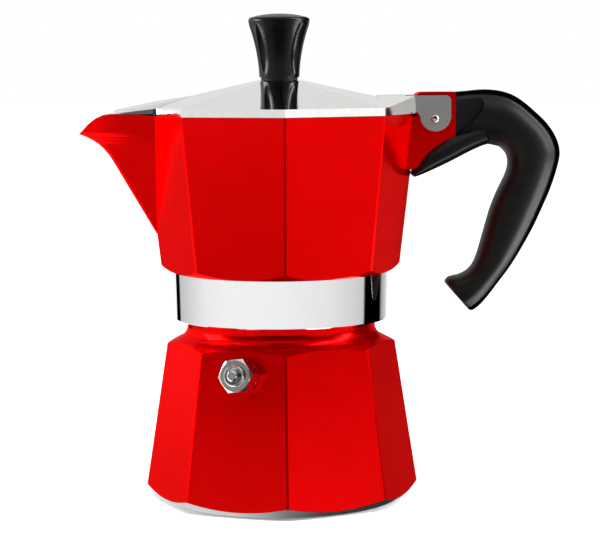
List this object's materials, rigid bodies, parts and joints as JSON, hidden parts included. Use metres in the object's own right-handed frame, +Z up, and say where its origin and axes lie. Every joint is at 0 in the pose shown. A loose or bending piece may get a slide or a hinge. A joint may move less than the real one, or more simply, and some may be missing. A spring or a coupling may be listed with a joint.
{
  "type": "moka pot",
  "caption": "Octagonal stove-top moka pot with painted aluminium chambers, hinged lid, safety valve and curved plastic handle.",
  "frame": {"origin": "centre of the boiler's flat underside, on the surface the pot stands on", "axes": "+Z up along the pot's axis, -X towards the spout, +X towards the handle, the safety valve faces -Y"},
  "size_m": [0.1586, 0.091, 0.16],
  "materials": {
    "boiler_paint": "cast aluminium with glossy red enamel outside, bare at the foot chamfer and inside",
    "collector_paint": "cast aluminium with glossy red enamel outside, polished bare band at the waist, bare inside",
    "polished_aluminium": "polished",
    "bare_aluminium": "satin",
    "seal_rubber": "matte",
    "plated_brass": "nickel plated",
    "brass": "turned",
    "spring_steel": "drawn wire",
    "black_plastic": "fine-grained satin",
    "plated_steel": "bright",
    "black_rubber": "matte"
  },
  "bodies": {
    "boiler": {"boiler": "boiler_paint", "valve_body": "plated_brass", "valve_seal": "seal_rubber", "valve_retainer": "plated_brass", "valve_spring": "spring_steel"},
    "valve_piston": {"valve_piston": "brass", "piston_seal": "seal_rubber"},
    "funnel": {"funnel": "bare_aluminium", "funnel_disc": "bare_aluminium"},
    "gasket": {"gasket": "seal_rubber"},
    "collector": {"collector": "collector_paint", "filter_plate": "bare_aluminium", "handle": "black_plastic", "handle_pin": "plated_steel", "hinge_pin": "plated_steel"},
    "lid": {"lid": "polished_aluminium", "knob": "black_plastic", "knob_insert": "brass", "knob_washer": "black_rubber", "knob_screw": "plated_steel"}
  },
  "joints": [
    {"name": "collector_rise", "type": "slide", "parent": "boiler", "child": "gasket", "axis": [0, 0, 1], "range_m": [0, 0.0091]},
    {"name": "collector_turn", "type": "hinge", "parent": "gasket", "child": "collector", "pos_m": [0, 0, 0.06], "axis": [0, 0, 1], "range_deg": [0, 1080]},
    {"name": "funnel_lift", "type": "slide", "parent": "boiler", "child": "funnel", "axis": [0, 0, 1], "range_m": [0, 0.0046]},
    {"name": "lid_hinge", "type": "hinge", "parent": "collector", "child": "lid", "pos_m": [0.0508, 0, 0.1253], "axis": [0, 1, 0], "range_deg": [0, 95]},
    {"name": "valve_travel", "type": "slide", "parent": "boiler", "child": "valve_piston", "axis": [-0.3789, -0.9147, 0.1409], "range_m": [0, 0.0012], "stiffness_N_per_m": 900, "springref_m": -0.001, "deforming": ["valve_spring"]}
  ],
  "couplings": [
    {"joint": "collector_rise", "follows": "collector_turn", "m_per_rad": 0.00047746},
    {"joint": "funnel_lift", "follows": "collector_turn", "m_per_rad": 0.00023873}
  ]
}
